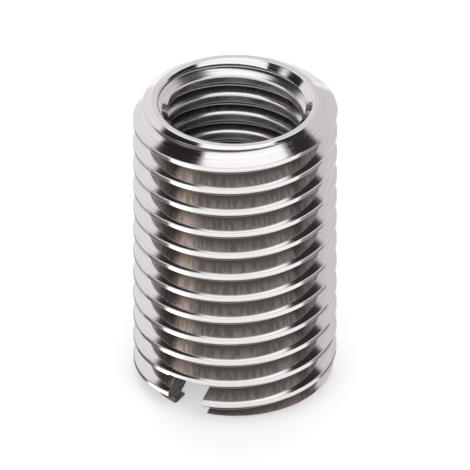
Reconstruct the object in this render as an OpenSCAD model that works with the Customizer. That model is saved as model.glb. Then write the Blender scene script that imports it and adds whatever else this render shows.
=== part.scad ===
// Slotted self-tapping threaded insert.
// It stands on its slotted end: the axis is Z, the slotted face is at Z = 0
// and the plain, countersunk face is at Z = body_length.

/* [Body] */
// Length over both faces
body_length = 25; // [12:0.5:36]

/* [Outside thread] */
// Diameter over the crests of the outside thread
outer_d = 16; // [12:0.1:24]
// Pitch of the outside thread
outer_pitch = 2; // [1:0.05:2.4]
// Angle at which the outside thread starts
outer_start = 165; // [0:5:355]

/* [Inside thread] */
// Wall from the bottom of the inside grooves to the crests of the outside thread
thread_wall = 2; // [1.8:0.05:2.6]
// Depth of the grooves of the inside thread
inner_depth = 0.75; // [0.5:0.05:0.9]
// Pitch of the inside thread
inner_pitch = 1.75; // [1.4:0.05:2.5]
// Angle at which the inside thread starts
inner_start = 315; // [0:5:355]

/* [Ends] */
// Angle of both outer chamfers, from the faces
chamfer_angle = 31; // [20:1:45]

/* [Plain end] */
// Width of the outer chamfer at the plain end
plain_chamfer = 1.45; // [0.5:0.05:1.7]
// How far the countersink is wider than the inside thread, all round
countersink_over = 0.1; // [0.05:0.05:0.35]
// Full angle of the countersink
countersink_angle = 90; // [60:5:120]

/* [Slotted end] */
// Width of the outer chamfer at the slotted end
slotted_chamfer = 1.3; // [0.5:0.05:1.9]
// Width and height of the small inner chamfer at the slotted end
bore_chamfer = 0.3; // [0.1:0.05:1]
// Width of the cutting slot
slot_w = 3; // [1:0.1:6]
// Depth of the cutting slot
slot_h = 3.5; // [1:0.1:9]

/* [Hidden] */

// Sixty degree threads: their flanks lean by half of that, and the depth and
// the flats are shares of the pitch. The outside crests are cut broad.
flank_angle = 30;
depth_share = 0.6134;
crest_share = 0.2;
groove_share = 1 / 8;
outer_root_r = outer_d / 2 - depth_share * outer_pitch;
outer_flat = crest_share * outer_pitch;
inner_flat = groove_share * inner_pitch;
inner_r = outer_d / 2 - thread_wall;
bore_r = inner_r - inner_depth;
countersink_r = inner_r + countersink_over;
countersink_h = (countersink_r - bore_r) / tan(countersink_angle / 2);
chamfer_slope = tan(chamfer_angle);

// How far each thread runs into the core or out into the bore, and how far
// every cutter passes the faces that it opens.
sink = 0.12;
past = 0.5;
thread_segments = 36;
$fn = 96;

// Half the height of a thread at radius r, when it is flat over a height of
// flat at radius tip.
function half_height(r, tip, flat) = flat / 2 + abs(tip - r) * tan(flank_angle);

// Section of a thread from its foot to its tip, as points of radius and height.
function thread_section(foot, tip, flat) = [
    [foot, -half_height(foot, tip, flat)],
    [tip, -flat / 2],
    [tip, flat / 2],
    [foot, half_height(foot, tip, flat)]
];

// A section carried along a right-hand helix.
module helix(section, pitch, bottom, top) {
    steps = ceil((top - bottom) / pitch * thread_segments);
    turn = 360 / thread_segments;
    rise = pitch / thread_segments;
    corners = len(section);
    points = [for (k = [0:steps], p = section)
        [p.x * cos(k * turn), p.x * sin(k * turn), bottom + k * rise + p.y]];
    sides = [for (k = [0:steps - 1], j = [0:corners - 1])
        let (a = k * corners + j, b = k * corners + (j + 1) % corners)
        each [[a, b, b + corners], [a, b + corners, a + corners]]];
    start = [for (j = [corners - 1:-1:0]) j];
    finish = [for (j = [0:corners - 1]) steps * corners + j];
    polyhedron(points, concat([start], sides, [finish]));
}

// Ridge of the outside thread, with its foot sunk into the core.
module outer_ridge() {
    section = thread_section(outer_root_r - sink, outer_d / 2, outer_flat);
    rotate(outer_start)
        helix(section, outer_pitch, -outer_pitch / 2, body_length + outer_pitch / 2);
}

// Groove of the inside thread, with its mouth open into the bore.
module inner_groove() {
    section = thread_section(bore_r - sink, inner_r, inner_flat);
    rotate(inner_start)
        helix(section, inner_pitch, -inner_pitch / 2, body_length + inner_pitch / 2);
}

// Turned outline of the bar, with a chamfer at each end. It clears the crests,
// so only the chamfers trim the thread.
module envelope() {
    side = outer_d / 2 + past;
    plain_rise = (plain_chamfer + past) * chamfer_slope;
    slotted_rise = (slotted_chamfer + past) * chamfer_slope;
    rotate_extrude()
        polygon([
            [0, 0],
            [outer_d / 2 - slotted_chamfer, 0],
            [side, slotted_rise],
            [side, body_length - plain_rise],
            [outer_d / 2 - plain_chamfer, body_length],
            [0, body_length]
        ]);
}

// Bore with the countersink of the plain end and the small chamfer of the
// slotted end.
module bore() {
    rotate_extrude()
        polygon([
            [0, -past],
            [bore_r + bore_chamfer, -past],
            [bore_r + bore_chamfer, 0],
            [bore_r, bore_chamfer],
            [bore_r, body_length - countersink_h],
            [countersink_r, body_length],
            [countersink_r, body_length + past],
            [0, body_length + past]
        ]);
}

// Slot milled straight across the slotted end, through both walls.
module slot() {
    translate([-slot_w / 2, -outer_d, -past])
        cube([slot_w, 2 * outer_d, slot_h + past]);
}

module threaded_insert() {
    color("silver")
        difference() {
            intersection() {
                union() {
                    cylinder(r = outer_root_r, h = body_length);
                    outer_ridge();
                }
                envelope();
            }
            bore();
            inner_groove();
            slot();
        }
}

threaded_insert();
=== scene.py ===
# %% [markdown]
# # A slotted threaded insert in polished stainless steel
# The real object is a short, hollow sleeve. It is turned from a stainless bar, threaded outside and
# inside, slotted at one end so that it cuts its own way into a drilled hole, and polished. This lesson
# builds it the same way: a turned blank, an outside thread, an inside thread and a slot, each made with
# one mesh operator that copies the workshop's tool, and then joined by cutting one with the other.
#
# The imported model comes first. It is the fixed frame, and everything below keeps to its sizes.

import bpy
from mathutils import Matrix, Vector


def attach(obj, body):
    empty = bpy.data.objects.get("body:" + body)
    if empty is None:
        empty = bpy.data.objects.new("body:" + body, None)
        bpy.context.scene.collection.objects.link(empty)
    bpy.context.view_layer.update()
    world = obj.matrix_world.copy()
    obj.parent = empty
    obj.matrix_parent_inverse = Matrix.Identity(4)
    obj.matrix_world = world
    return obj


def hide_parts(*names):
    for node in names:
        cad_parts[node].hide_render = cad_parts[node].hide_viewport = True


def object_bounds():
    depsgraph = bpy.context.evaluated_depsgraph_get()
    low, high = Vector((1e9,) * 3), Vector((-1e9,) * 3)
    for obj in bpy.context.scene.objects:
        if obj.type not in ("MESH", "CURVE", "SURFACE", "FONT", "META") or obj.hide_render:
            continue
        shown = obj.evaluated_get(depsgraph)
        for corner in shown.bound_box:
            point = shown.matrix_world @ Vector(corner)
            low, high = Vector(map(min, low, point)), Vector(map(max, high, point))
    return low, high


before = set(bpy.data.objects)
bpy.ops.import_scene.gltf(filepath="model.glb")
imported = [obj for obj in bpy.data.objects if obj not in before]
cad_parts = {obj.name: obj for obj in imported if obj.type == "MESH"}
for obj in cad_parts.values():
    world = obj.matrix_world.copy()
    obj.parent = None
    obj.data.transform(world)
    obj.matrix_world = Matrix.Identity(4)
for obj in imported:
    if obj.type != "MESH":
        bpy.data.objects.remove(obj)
cad_low, cad_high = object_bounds()
print("packed box in mm:", [round(c * 1000, 2) for c in (*cad_low, *cad_high)])

# %% Bring in the tools
import math

import bmesh
import bpy
from mathutils import Matrix

# %% [markdown]
# ## Sizes
# A thread is easiest to think about in millimetres, so the sizes are written in millimetres and each
# finished mesh is scaled to metres once, at the end. They repeat the sizes of the part's source. The
# outside thread is 16 mm with a pitch of 2 mm, and the inside one is 12 mm with a pitch of 1.75 mm.

# %% Sizes of the part, in millimetres
MM = 0.001
TO_MM = 1 / MM
LENGTH = 25.0
OUTER_R, OUTER_PITCH, OUTER_START = 8.0, 2.0, 165.0
INNER_R, BORE_R, INNER_PITCH, INNER_START = 6.0, 5.25, 1.75, 315.0
FLANK_LEAN = math.tan(math.radians(30))
DEPTH_SHARE, CREST_SHARE, GROOVE_SHARE = 0.6134, 0.2, 0.125
OUTER_ROOT_R = OUTER_R - DEPTH_SHARE * OUTER_PITCH
PLAIN_CHAMFER, SLOTTED_CHAMFER = 1.45, 1.3
CHAMFER_SLOPE = math.tan(math.radians(31))
COUNTERSINK_OVER, BORE_CHAMFER = 0.1, 0.3
MOUTH_R = INNER_R + COUNTERSINK_OVER
SLOT_WIDTH, SLOT_DEPTH = 3.0, 3.5
print(f"outside thread: crest {OUTER_R}, root {OUTER_ROOT_R:.3f}")
print(f"inside thread: groove {INNER_R}, bore {BORE_R}")

# %% [markdown]
# ## Drawing a section
# Every tool here starts as an outline drawn in the plane of radius and height. Real edges are never
# quite sharp: a polished crest catches a thin bright line because its corner is rounded. So the outline
# is drawn with plain corners, and the bevel operator, set to work on points, rounds those that need it.

# %% A section with rounded corners
def draw_section(corners, rounds, closed):
    """A chain of edges through (radius, height) corners; rounds is {corner: (size, segments)}."""
    section = bmesh.new()
    points = [section.verts.new((radius, 0, height)) for radius, height in corners]
    ends = points[1:] + points[:1] if closed else points[1:]
    for start, end in zip(points, ends):
        section.edges.new((start, end))
    for corner, (size, segments) in rounds.items():
        bmesh.ops.bevel(section, geom=[points[corner]], offset=size, offset_type="OFFSET",
                        segments=segments, profile=0.5, affect="VERTICES", material=-1)
    return section

# %% [markdown]
# ## Cutting a thread
# A lathe cuts a thread by turning the bar while the tool moves along it. The spin operator does just
# that: with a full turn and a small lift at each step it sweeps one pitch of the section into a ribbon
# that climbs by exactly one pitch. A copy of that ribbon, lifted by a pitch, lies edge to edge on the
# first. Doubling the stack four times gives sixteen turns, far faster than spinning them all, and
# merging the doubled points closes the skin. Two bisections trim it and the holes are filled, which
# leaves a closed threaded rod, ready to cut with or to be cut. It stands past both faces a little, so
# that the cuts to come pass clean through it.

# %% One pitch of a sixty degree thread
def thread_section(root_r, tip_r, tip_flat, pitch, root_round, tip_round):
    """One pitch of thread from the middle of a root to the middle of the next."""
    half = tip_flat / 2 + abs(tip_r - root_r) * FLANK_LEAN
    corners = [(root_r, -pitch / 2), (root_r, -half), (tip_r, -tip_flat / 2),
               (tip_r, tip_flat / 2), (root_r, half), (root_r, pitch / 2)]
    return draw_section(corners, {1: root_round, 2: tip_round, 3: tip_round, 4: root_round}, False)


# %% A ribbon of one turn, stacked into a rod
PAST = 0.4
DOUBLINGS = 4
SAME_POINT, SAME_PLANE = 1e-4, 1e-5


def threaded_rod(section, pitch, start_angle, steps):
    """Sweeps the section up one turn, stacks sixteen turns and closes the ends past both faces."""
    below = -pitch / 2 - pitch * math.ceil(PAST / pitch)
    bmesh.ops.translate(section, verts=section.verts, vec=(0, 0, below))
    bmesh.ops.rotate(section, verts=section.verts, cent=(0, 0, 0),
                     matrix=Matrix.Rotation(math.radians(start_angle), 3, "Z"))
    bmesh.ops.spin(section, geom=section.verts[:] + section.edges[:], cent=(0, 0, 0), axis=(0, 0, 1),
                   dvec=(0, 0, pitch / steps), angle=math.tau, steps=steps)
    for doubling in range(DOUBLINGS):
        turns = section.verts[:] + section.edges[:] + section.faces[:]
        copied = bmesh.ops.duplicate(section, geom=turns)
        lifted = [item for item in copied["geom"] if isinstance(item, bmesh.types.BMVert)]
        bmesh.ops.translate(section, verts=lifted, vec=(0, 0, pitch * 2 ** doubling))
    bmesh.ops.remove_doubles(section, verts=section.verts, dist=SAME_POINT)
    for height, outwards in ((-PAST, -1), (LENGTH + PAST, 1)):
        turns = section.verts[:] + section.edges[:] + section.faces[:]
        bmesh.ops.bisect_plane(section, geom=turns, dist=SAME_PLANE, plane_co=(0, 0, height),
                               plane_no=(0, 0, outwards), clear_outer=True)
    rims = [edge for edge in section.edges if edge.is_boundary]
    bmesh.ops.holes_fill(section, edges=rims, sides=0)
    return section

# %% [markdown]
# ## From an outline to an object
# The four shapes are cut with each other further on, and each leaves its own kind of surface on the
# steel: threaded outside, turned, tapped inside, or milled. So each shape has a number of its own, kept
# as a material number on its faces, and the cut surfaces still know which tool made them.

# %% Steel surfaces, by the tool that made them
THREADED, TURNED, TAPPED, MILLED = range(4)
surface_names = ("threaded_steel", "turned_steel", "tapped_steel", "milled_steel")
steels = [bpy.data.materials.new(name) for name in surface_names]


def shape_object(name, shape, surface):
    """A mesh object from a closed bmesh, with outward faces that carry the number of their surface."""
    bmesh.ops.recalc_face_normals(shape, faces=shape.faces)
    for face in shape.faces:
        face.smooth = True
        face.material_index = surface
    mesh = bpy.data.meshes.new(name)
    shape.to_mesh(mesh)
    print(f"{name}: {len(shape.faces)} faces, {shape.calc_volume():.0f} mm3")
    shape.free()
    for steel in steels:
        mesh.materials.append(steel)
    made = bpy.data.objects.new(name, mesh)
    bpy.context.scene.collection.objects.link(made)
    return made

# %% [markdown]
# ## The outside thread
# The crest of the real thread is a flat, a fifth of the pitch, with softened corners, and the root is
# rounded by the tip of the tool. The crests are what draws the fine bright lines round the sleeve.
# Polishing takes a few hundredths off them, so they stay just inside their nominal size. Each rounding
# is a size in millimetres and a number of segments, first for the root and then for the crest.

# %% Outside thread
POLISH_LOSS = 0.031
OUTER_STEPS = 144
outside = thread_section(OUTER_ROOT_R, OUTER_R - POLISH_LOSS, CREST_SHARE * OUTER_PITCH, OUTER_PITCH,
                         (0.06, 3), (0.09, 4))
outside = threaded_rod(outside, OUTER_PITCH, OUTER_START, OUTER_STEPS)
threaded_insert = shape_object("threaded_insert_polished", outside, THREADED)

# %% [markdown]
# ## The inside thread
# A tap cuts the inside thread, so the tool that is needed here is the tap itself: a rod as thick as the
# bore, with the groove standing out of it. Its root becomes the crest that shows inside the sleeve.

# %% Tap for the inside thread
INNER_STEPS = 112
inside = thread_section(BORE_R, INNER_R, GROOVE_SHARE * INNER_PITCH, INNER_PITCH, (0.22, 5), (0.05, 3))
tap = shape_object("tap", threaded_rod(inside, INNER_PITCH, INNER_START, INNER_STEPS), TAPPED)

# %% [markdown]
# ## The turned blank
# The lathe gives the bar its length, the chamfers at both ends, the flat ring on each face and the
# countersink. The blank is a closed outline spun once round the axis. Its outer wall stands clear of
# the crests and its bore is narrower than the tap, so only the ends of the blank trim the threads. The
# four corners that meet a face ring are rounded a little, because a finger feels them.

# %% Turned blank
CLEAR = 0.3
BLANK_STEPS = 192
blank_outline = [
    (BORE_R - CLEAR, BORE_CHAMFER + CLEAR),
    (BORE_R - CLEAR, LENGTH - (MOUTH_R - BORE_R) - CLEAR),
    (MOUTH_R, LENGTH),
    (OUTER_R - PLAIN_CHAMFER, LENGTH),
    (OUTER_R + CLEAR, LENGTH - (PLAIN_CHAMFER + CLEAR) * CHAMFER_SLOPE),
    (OUTER_R + CLEAR, (SLOTTED_CHAMFER + CLEAR) * CHAMFER_SLOPE),
    (OUTER_R - SLOTTED_CHAMFER, 0),
    (BORE_R + BORE_CHAMFER, 0),
]
ring_corners = (2, 3, 6, 7)
blank = draw_section(blank_outline, dict.fromkeys(ring_corners, (0.06, 3)), True)
bmesh.ops.spin(blank, geom=blank.verts[:] + blank.edges[:], cent=(0, 0, 0), axis=(0, 0, 1),
               angle=math.tau, steps=BLANK_STEPS, use_merge=True)
blank = shape_object("blank", blank, TURNED)

# %% [markdown]
# ## The slot
# A thin milling cutter passes once across the end and leaves a straight slot through both walls, along
# Y. It is a block, and the bevel operator gives its two inner edges the small radius of the cutter.

# %% Slot cutter
CUTTER_ROUND = 0.15
BELOW_FACE = 1
slot = bmesh.new()
bmesh.ops.create_cube(slot, size=1)
bmesh.ops.scale(slot, verts=slot.verts, vec=(SLOT_WIDTH, 3 * OUTER_R, SLOT_DEPTH + BELOW_FACE))
bmesh.ops.translate(slot, verts=slot.verts, vec=(0, 0, (SLOT_DEPTH - BELOW_FACE) / 2))
deep_edges = [edge for edge in slot.edges
              if all(vert.co.z > 0 for vert in edge.verts)
              and abs(edge.verts[0].co.x - edge.verts[1].co.x) < 1e-6]
bmesh.ops.bevel(slot, geom=deep_edges, offset=CUTTER_ROUND, offset_type="OFFSET", segments=3,
                profile=0.5, affect="EDGES", material=-1)
slot = shape_object("slot", slot, MILLED)

# %% [markdown]
# ## Cutting one with the other
# The rod keeps only what lies inside the blank, and then loses the tap and the slot. Modelling the
# run-outs by hand, where a thread fades into a chamfer, would be endless work. Boolean modifiers find
# those curves exactly, and the result is read back as one mesh, so that no cutter is left behind.

# %% Cut the rod to the blank, tap it and slot it
for tool, operation in ((blank, "INTERSECT"), (tap, "DIFFERENCE"), (slot, "DIFFERENCE")):
    cut = threaded_insert.modifiers.new(tool.name, "BOOLEAN")
    cut.object, cut.operation, cut.solver = tool, operation, "MANIFOLD"
seen = threaded_insert.evaluated_get(bpy.context.evaluated_depsgraph_get())
cut_mesh = bpy.data.meshes.new_from_object(seen)
threaded_insert.modifiers.clear()
threaded_insert.data = cut_mesh
for tool in (blank, tap, slot):
    bpy.data.objects.remove(tool, do_unlink=True)
print(f"after the cuts: {len(cut_mesh.polygons)} faces")

# %% [markdown]
# ## Edges and shading
# A thread shades well only if its flanks stay flat in the light and its edges stay crisp. Where two
# tools met there is a true edge, so those edges are marked sharp. Inside one tool's surface the corners
# are rounded already and shade smoothly. The Weighted Normal modifier then lets the wide flank decide
# the shading at its own edges, so that the narrow rounding beside it doesn't bend its reflections.
# It weighs by area, and in metres these areas are too small for it to count. So it does its work while
# the mesh is still in millimetres, and its result is read back and scaled to metres.
#
# One place needs care: the chamfers lean almost as the flanks do, so where a flank runs out into a
# chamfer, the two differ by less than a hair. Those slivers are counted as turned, and no seam shows.

# %% Where a flank runs out into a chamfer
def below_chamfer(point):
    """How deep a point lies under the nearer outer chamfer, measured along the axis."""
    radius = math.hypot(point.x, point.y)
    plain = LENGTH - (radius - OUTER_R + PLAIN_CHAMFER) * CHAMFER_SLOPE - point.z
    slotted = point.z - (radius - OUTER_R + SLOTTED_CHAMFER) * CHAMFER_SLOPE
    return min(plain, slotted)


# %% Mark the edges between two tools
WELD = 2e-4
HAIR = 0.035
STEEP = math.radians(50)
steel_body = bmesh.new()
steel_body.from_mesh(cut_mesh)
bmesh.ops.remove_doubles(steel_body, verts=steel_body.verts, dist=WELD)
bmesh.ops.dissolve_degenerate(steel_body, edges=steel_body.edges, dist=WELD)
for face in steel_body.faces:
    face.smooth = True
    if face.material_index == THREADED and all(below_chamfer(vert.co) < HAIR for vert in face.verts):
        face.material_index = TURNED
for edge in steel_body.edges:
    surfaces = {face.material_index for face in edge.link_faces}
    steep = len(edge.link_faces) == 2 and edge.calc_face_angle() > STEEP
    edge.smooth = not (len(surfaces) > 1 or steep)
open_edges = sum(not edge.is_manifold for edge in steel_body.edges)
print(f"insert: {len(steel_body.faces)} faces, {len(steel_body.calc_loop_triangles())} triangles,",
      f"{open_edges} open edges, {steel_body.calc_volume():.0f} mm3")
steel_body.to_mesh(cut_mesh)
steel_body.free()

# %% Flatten the flanks in the light, and scale to metres
flat_flanks = threaded_insert.modifiers.new("flat_flanks", "WEIGHTED_NORMAL")
flat_flanks.keep_sharp = True
flat_flanks.weight = 80
seen = threaded_insert.evaluated_get(bpy.context.evaluated_depsgraph_get())
flat_mesh = bpy.data.meshes.new_from_object(seen)
threaded_insert.modifiers.clear()
threaded_insert.data = flat_mesh
flat_mesh.transform(Matrix.Scale(MM, 4))
print(f"insert in metres: {len(flat_mesh.polygons)} faces")

# %% [markdown]
# ## Polished stainless steel
# Polished steel has almost no colour of its own: it shows the room. What makes it look like steel is the
# small work of the tools. Fine lines run along the thread where the tool passed, round the turned ends,
# and straight across the milled slot. They are built from noise that is stretched along the path of the
# tool. The path needs a coordinate of its own, so it is computed from the object's coordinates: the
# radius, the turn round the axis, and the height on the thread, which is the height less what the
# helix has climbed by that turn.

# %% Helpers for shader nodes
def add_node(tree, kind, inputs, **settings):
    """Adds a node, sets its options, and gives each input a value or a link."""
    made = tree.nodes.new(kind)
    for option, value in settings.items():
        setattr(made, option, value)
    for name, value in inputs.items():
        if isinstance(value, bpy.types.NodeSocket):
            tree.links.new(value, made.inputs[name])
        else:
            made.inputs[name].default_value = value
    return made


def calc(tree, operation, first, second=0.0):
    """One sum on two numbers or sockets."""
    return add_node(tree, "ShaderNodeMath", {0: first, 1: second}, operation=operation).outputs[0]


def fade(tree, value, low, high, at_low, at_high):
    """A soft step: at_low below low, at_high above high."""
    inputs = {"Value": value, "From Min": low, "From Max": high, "To Min": at_low, "To Max": at_high}
    return add_node(tree, "ShaderNodeMapRange", inputs, interpolation_type="SMOOTHSTEP").outputs[0]

# %% Coordinates that follow the tool
def tool_path(tree, surface):
    """(across, up, along) in millimetres: along runs with the tool's marks, the others across them."""
    place = add_node(tree, "ShaderNodeTexCoord", {}).outputs["Object"]
    x, y, z = (calc(tree, "MULTIPLY", axis, TO_MM)
               for axis in add_node(tree, "ShaderNodeSeparateXYZ", {0: place}).outputs)
    if surface == MILLED:
        return x, z, y
    squares = calc(tree, "MULTIPLY", x, x), calc(tree, "MULTIPLY", y, y)
    radius = calc(tree, "SQRT", calc(tree, "ADD", *squares))
    turn = calc(tree, "DIVIDE", calc(tree, "ARCTAN2", y, x), math.tau)
    along = calc(tree, "SINE", calc(tree, "MULTIPLY", turn, math.tau))
    if surface == TURNED:
        return radius, z, along
    pitch, start = (OUTER_PITCH, OUTER_START) if surface == THREADED else (INNER_PITCH, INNER_START)
    climbed = calc(tree, "SUBTRACT", calc(tree, "DIVIDE", z, pitch), turn)
    height = calc(tree, "FRACT", calc(tree, "ADD", climbed, start / 360))
    return radius, calc(tree, "MULTIPLY", height, pitch), along


# %% Noise stretched along the tool's path
def streaks(tree, path, across, along, detail):
    """Noise with that many waves a millimetre across the marks and along them."""
    scaled = [calc(tree, "MULTIPLY", axis, waves) for axis, waves in zip(path, (across, across, along))]
    vector = add_node(tree, "ShaderNodeCombineXYZ", dict(enumerate(scaled))).outputs[0]
    inputs = {"Vector": vector, "Scale": 1.0, "Detail": detail}
    return add_node(tree, "ShaderNodeTexNoise", inputs).outputs[0]

# %% [markdown]
# Polishing reaches the crests and the flanks that face up, but not the undersides and the roots, which
# stay rougher.
# Their colour is painted shade: a dark brown-grey painted into the undersides and the roots, the deeper
# the darker, and the flank above each crest mirrors it. That painted shade draws the strong dark bands
# of the thread. The heights at which the polish and the painted shade start and stop are in millimetres
# from the middle of the pitch, where the crest of the outside thread stands.

# %% Where the polish reaches, and where shade is painted
def polish_and_light_share(tree, height, surface):
    """1 where the thread is polished and lit, 0 on its undersides and in its roots, which are rougher
    and carry painted shade; height is on the pitch.
    """
    middle = (OUTER_PITCH if surface == THREADED else INNER_PITCH) / 2
    if surface == THREADED:
        rising = fade(tree, height, middle - 0.27, middle - 0.17, 0.0, 1.0)
        return calc(tree, "MULTIPLY", rising, fade(tree, height, middle + 0.8, middle + 0.95, 1.0, 0.0))
    return calc(tree, "MAXIMUM", fade(tree, height, middle - 0.1, middle + 0.05, 1.0, 0.0),
                fade(tree, height, middle + 0.5, middle + 0.6, 0.0, 1.0))

# %% Fine marks that run up the flanks, across the thread
def chatter(tree, waves):
    """Noise with that many waves a millimetre round the thread and almost none up it."""
    def on_vectors(operation, *vectors):
        return add_node(tree, "ShaderNodeVectorMath", dict(enumerate(vectors)),
                        operation=operation).outputs[0]

    place = add_node(tree, "ShaderNodeTexCoord", {}).outputs["Object"]
    ring = on_vectors("NORMALIZE", on_vectors("MULTIPLY", place, (1.0, 1.0, 0.0)))
    height = on_vectors("MULTIPLY", place, (0.0, 0.0, 60.0))
    vector = on_vectors("ADD", ring, height)
    inputs = {"Vector": vector, "Scale": waves * OUTER_R, "Detail": 2.0}
    return add_node(tree, "ShaderNodeTexNoise", inputs).outputs[0]

# %% Four finishes of one steel
# Painted shade: the dark colours given to the roots and undersides of the threads, which stand in for
# their shadow.
ROOT_PAINTED_SHADE, UNDERSIDE_PAINTED_SHADE = (0.085, 0.074, 0.069), (0.22, 0.20, 0.19)
BROAD_RELIEF, FINE_RELIEF, MARKS_RELIEF = 2.0, 0.5, 0.7
RELIEF_DEPTH, SOFT_EDGE = 1.5e-6, 0.05 * MM


def finish_steel(steel, surface, tint, polish, waves=7.0, stretch=5.0, darkest=0.93):
    """Polished steel whose fine lines follow the tool that made the surface; on the threads, shade is
    painted into the undersides and roots.
    """
    steel.use_nodes = True
    tree = steel.node_tree
    shader = tree.nodes["Principled BSDF"]
    shader.inputs["Metallic"].default_value = 1.0
    path = tool_path(tree, surface)
    broad = streaks(tree, path, 1.2, 0.6, 2.0)
    fine = streaks(tree, path, waves, waves / stretch, 3.0)
    shades = [tuple(channel * share for channel in tint) + (1.0,) for share in (darkest, 1.0)]
    colour = add_node(tree, "ShaderNodeMix", {"Factor": fade(tree, fine, 0.35, 0.6, 0.0, 1.0),
                                              "A": shades[0], "B": shades[1]}, data_type="RGBA")
    colour = colour.outputs["Result"]
    marks = chatter(tree, 2.8)
    roughness = fade(tree, fine, 0.3, 0.7, polish + 0.07, polish)
    if surface in (THREADED, TAPPED):
        # Painted shade: undersides and roots get a dark colour (cut), darker deeper in the root and
        # varied by the chatter marks; the rougher finish there is real.
        share = polish_and_light_share(tree, path[1], surface)
        deep, edge = (OUTER_ROOT_R, OUTER_R) if surface == THREADED else (INNER_R, BORE_R)
        shallow_shade = fade(tree, calc(tree, "ABSOLUTE", calc(tree, "SUBTRACT", path[0], deep)),
                       0.0, abs(edge - deep), 0.0, 1.0)
        shallow_shade = calc(tree, "MULTIPLY", shallow_shade, fade(tree, marks, 0.40, 0.60, 0.45, 1.3))
        cut = add_node(tree, "ShaderNodeMix", {"Factor": shallow_shade, "A": (*ROOT_PAINTED_SHADE, 1.0),
                                               "B": (*UNDERSIDE_PAINTED_SHADE, 1.0)}, data_type="RGBA")
        colour = add_node(tree, "ShaderNodeMix", {"Factor": share, "A": cut.outputs["Result"],
                                                  "B": colour}, data_type="RGBA").outputs["Result"]
        roughness = calc(tree, "ADD", roughness, fade(tree, share, 0.0, 1.0, 0.12, 0.0))
    tree.links.new(colour, shader.inputs["Base Color"])
    tree.links.new(roughness, shader.inputs["Roughness"])
    relief = calc(tree, "ADD", calc(tree, "MULTIPLY", broad, BROAD_RELIEF),
                  calc(tree, "MULTIPLY", fine, FINE_RELIEF))
    relief = calc(tree, "ADD", relief, calc(tree, "MULTIPLY", marks, MARKS_RELIEF))
    soft_edge = add_node(tree, "ShaderNodeBevel", {"Radius": SOFT_EDGE}, samples=4).outputs[0]
    bump = add_node(tree, "ShaderNodeBump", {"Strength": 1.0, "Distance": RELIEF_DEPTH,
                                             "Height": relief, "Normal": soft_edge})
    tree.links.new(bump.outputs[0], shader.inputs["Normal"])
    print(f"{steel.name}: {len(tree.nodes)} nodes")

# %% Give each surface its finish
STEEL, MILLED_STEEL = (0.80, 0.785, 0.775), (0.56, 0.545, 0.535)
finish_steel(steels[THREADED], THREADED, STEEL, 0.06)
finish_steel(steels[TURNED], TURNED, STEEL, 0.07)
finish_steel(steels[TAPPED], TAPPED, STEEL, 0.18)
finish_steel(steels[MILLED], MILLED, MILLED_STEEL, 0.2, waves=4.0, stretch=12.0, darkest=0.45)

# %% [markdown]
# ## Taking the solid's place
# The piece rides on the one body of the part and stands for its one solid.

# %% Seat the piece on the frame
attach(threaded_insert, "root")
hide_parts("threaded_insert")

# %% [markdown]
# ## The camera
# The photograph looks down at about 33 degrees through a long lens, so upright edges stay parallel. The
# insert stands on its slotted end, and the camera stands where the slot shows low on the left.

# %% Camera
CAMERA_TURN, CAMERA_RISE, CAMERA_FAR = math.radians(-60), math.radians(33.5), 1.0
FRAME_WIDTH = 0.0367
lens = bpy.data.cameras.new("camera")
lens.sensor_width = 36.0
lens.lens = lens.sensor_width * CAMERA_FAR / FRAME_WIDTH
lens.clip_start, lens.clip_end = 0.01, 20.0
camera = bpy.data.objects.new("camera", lens)
bpy.context.scene.collection.objects.link(camera)
back = Matrix.Rotation(CAMERA_TURN, 3, "Z") @ Matrix.Rotation(-CAMERA_RISE, 3, "Y").col[0]
aim = (cad_low + cad_high) / 2
camera.location = aim + back * CAMERA_FAR
camera.rotation_euler = back.to_track_quat("Z", "Y").to_euler()
bpy.context.scene.camera = camera
print("camera at", [round(c, 3) for c in camera.location], "lens", round(lens.lens), "mm")

# %% [markdown]
# ## The studio
# Polished steel is a picture of the room, so the room is what gives it its look. Here the room is
# painted by direction as seen from the insert: pale walls up to half height, a bright ceiling, dark
# gaps between the two, soft boxes in front and behind, and cards beside the insert on the floor.
# Painting them keeps every view clear, because no lamp or card stands in front of a camera. Azimuths
# count from the camera's side, to the right.

# %% Azimuth from the camera's side
def bearing(tree, vector):
    """The azimuth of a vector in degrees, and its height."""
    turned = add_node(tree, "ShaderNodeMapping", {"Vector": vector, "Rotation": (0, 0, -CAMERA_TURN)},
                      vector_type="POINT").outputs[0]
    east, north, up = add_node(tree, "ShaderNodeSeparateXYZ", {0: turned}).outputs
    return calc(tree, "DEGREES", calc(tree, "ARCTAN2", north, east)), up


# %% One patch of light or dark
def paint(tree, below, azimuth, level, centre, half_width, bottom, top, colour, soft):
    """One patch over what is below it: width in degrees, level in degrees up or millimetres out."""
    away = {0: calc(tree, "SUBTRACT", azimuth, centre), 1: 180.0, 2: -180.0}
    wrapped = add_node(tree, "ShaderNodeMath", away, operation="WRAP").outputs[0]
    offset = calc(tree, "ABSOLUTE", wrapped)
    side = fade(tree, offset, half_width - soft, half_width + soft, 1.0, 0.0)
    rise = fade(tree, level, bottom - soft, bottom + soft, 0.0, 1.0)
    fall = fade(tree, level, top - soft, top + soft, 1.0, 0.0)
    share = calc(tree, "MULTIPLY", calc(tree, "MULTIPLY", side, rise), fall)
    mixed = add_node(tree, "ShaderNodeMix", {"Factor": share, "A": below, "B": (*colour, 1.0)},
                     data_type="RGBA")
    return mixed.outputs["Result"]

# %% [markdown]
# ## The floor
# The floor is plain white. Seen directly or mirrored in the steel it is lifted to white by a little glow
# of its own, which leaves the soft shadow in place and puts no more light on the insert. The cards are
# painted
# reflections: dark patches that draw the dark stripes down both sides of the sleeve, and a bright warm
# one at the left, painted on the floor only where the steel mirrors it, with no card standing there. The
# last of them is a ring of painted shadow, the dark that gathers under a standing part, seen only in the
# steel.

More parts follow.
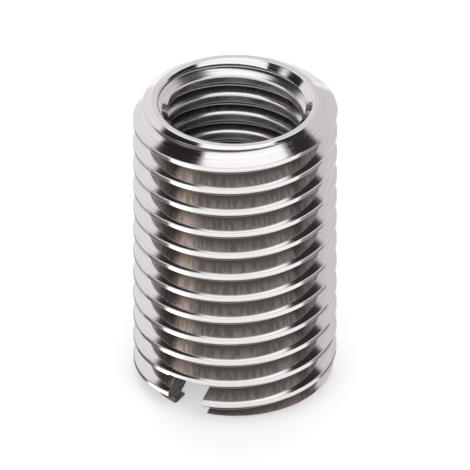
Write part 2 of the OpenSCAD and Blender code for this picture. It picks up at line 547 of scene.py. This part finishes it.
# %% Floor
FLOOR_RADIUS = 4.0
ground = bmesh.new()
bmesh.ops.create_circle(ground, cap_ends=True, segments=64, radius=FLOOR_RADIUS)
floor_mesh = bpy.data.meshes.new("floor")
ground.to_mesh(floor_mesh)
ground.free()
floor = bpy.data.objects.new("floor", floor_mesh)
bpy.context.scene.collection.objects.link(floor)
floor_white = bpy.data.materials.new("floor_white")
floor_white.use_nodes = True
floor_tree = floor_white.node_tree
floor_tree.nodes.clear()

# %% Painted reflections on the floor, seen only by the steel
spot = add_node(floor_tree, "ShaderNodeTexCoord", {}).outputs["Object"]
spot_azimuth, _ = bearing(floor_tree, spot)
distance = add_node(floor_tree, "ShaderNodeVectorMath", {0: spot}, operation="LENGTH")
distance = calc(floor_tree, "MULTIPLY", distance.outputs["Value"], TO_MM)
painted_reflection = add_node(floor_tree, "ShaderNodeRGB", {}).outputs[0]
painted_reflection.default_value = (1, 1, 1, 1)
# Painted reflections: dark cards and a bright warm card painted on the floor, seen only in the steel; no
# card stands there.
for card in (
    # centre, half width, near, far, colour, softness
    (150, 42, -9, 400, (0.82, 0.80, 0.80), 5.0),
    (-122, 22, -9, 150, (0.45, 0.43, 0.43), 5.0),
    (122, 16, -9, 150, (0.64, 0.62, 0.62), 5.0),
    (-86, 15, -9, 150, (0.18, 0.165, 0.16), 3.0),
    (88, 18, -9, 150, (0.30, 0.275, 0.28), 3.0),
    (-58, 10, -9, 150, (2.2, 1.98, 1.84), 3.0),
    # Painted shadow: a dark ring round the base, seen only in the steel.
    (0, 200, -9, 8.6, (0.22, 0.21, 0.21), 0.7),
):
    painted_reflection = paint(floor_tree, painted_reflection, spot_azimuth, distance, *card)

# %% Floor material
FLOOR_SHADE, FLOOR_GLOW = (0.85, 0.85, 0.85, 1), 0.45
rays = add_node(floor_tree, "ShaderNodeLightPath", {}).outputs
paper = add_node(floor_tree, "ShaderNodeMix", {"Factor": rays["Is Glossy Ray"], "A": (1, 1, 1, 1),
                                               "B": painted_reflection}, data_type="RGBA").outputs["Result"]
pale = add_node(floor_tree, "ShaderNodeMix", {"Factor": 1.0, "A": paper, "B": FLOOR_SHADE},
                data_type="RGBA", blend_type="MULTIPLY").outputs["Result"]
shown = calc(floor_tree, "MAXIMUM", rays["Is Camera Ray"], rays["Is Glossy Ray"])
strength = calc(floor_tree, "MULTIPLY", shown, FLOOR_GLOW)
glow = add_node(floor_tree, "ShaderNodeEmission", {"Color": paper, "Strength": strength})
matt = add_node(floor_tree, "ShaderNodeBsdfDiffuse", {"Color": pale})
both = add_node(floor_tree, "ShaderNodeAddShader", {0: glow.outputs[0], 1: matt.outputs[0]})
add_node(floor_tree, "ShaderNodeOutputMaterial", {"Surface": both.outputs[0]})
floor_mesh.materials.append(floor_white)
print("floor:", len(floor_tree.nodes), "nodes")

# %% [markdown]
# ## Walls, ceiling and soft boxes
# The walls and the ceiling are the world behind everything. It starts as all ceiling, and the patches
# are painted over it one by one: the walls, the dark gaps, and at the end the soft boxes in front and
# behind.

# %% World: walls and ceiling
world = bpy.data.worlds.new("studio")
bpy.context.scene.world = world
world.use_nodes = True
room = world.node_tree
room.nodes.clear()
look = add_node(room, "ShaderNodeTexCoord", {}).outputs["Generated"]
azimuth, up = bearing(room, look)
elevation = calc(room, "DEGREES", calc(room, "ARCSINE", up))

# %% World: soft boxes and the gaps between them
studio = add_node(room, "ShaderNodeRGB", {}).outputs[0]
studio.default_value = (1.25, 1.25, 1.27, 1.0)
for patch in (
    # centre, half width, bottom, top, colour, softness
    (0, 200, -95, 44, (0.93, 0.90, 0.91), 2.5),
    (143, 37, -95, 44, (0.74, 0.71, 0.72), 4.0),
    (100, 42, 43, 66, (0.03, 0.026, 0.028), 2.0),
    (-100, 42, 42, 69, (0.02, 0.018, 0.018), 2.0),
    (-101, 15, 20, 37, (0.02, 0.02, 0.022), 2.0),
    (88, 26, 24, 52, (0.02, 0.02, 0.022), 2.0),
    (4, 63, 44, 63, (1.18, 1.18, 1.2), 1.5),
    (180, 45, 48, 66, (1.25, 1.25, 1.27), 2.0),
):
    studio = paint(room, studio, azimuth, elevation, *patch)

# %% World: white to the camera, the studio to everything else
light_path = add_node(room, "ShaderNodeLightPath", {}).outputs
seen_colour = add_node(room, "ShaderNodeMix", {"Factor": light_path["Is Camera Ray"], "A": studio,
                                               "B": (1, 1, 1, 1)}, data_type="RGBA")
sky = add_node(room, "ShaderNodeBackground", {"Color": seen_colour.outputs["Result"], "Strength": 1.0})
add_node(room, "ShaderNodeOutputWorld", {"Surface": sky.outputs[0]})
bpy.context.scene.view_settings.view_transform = "Standard"
print("studio:", len(room.nodes), "nodes")
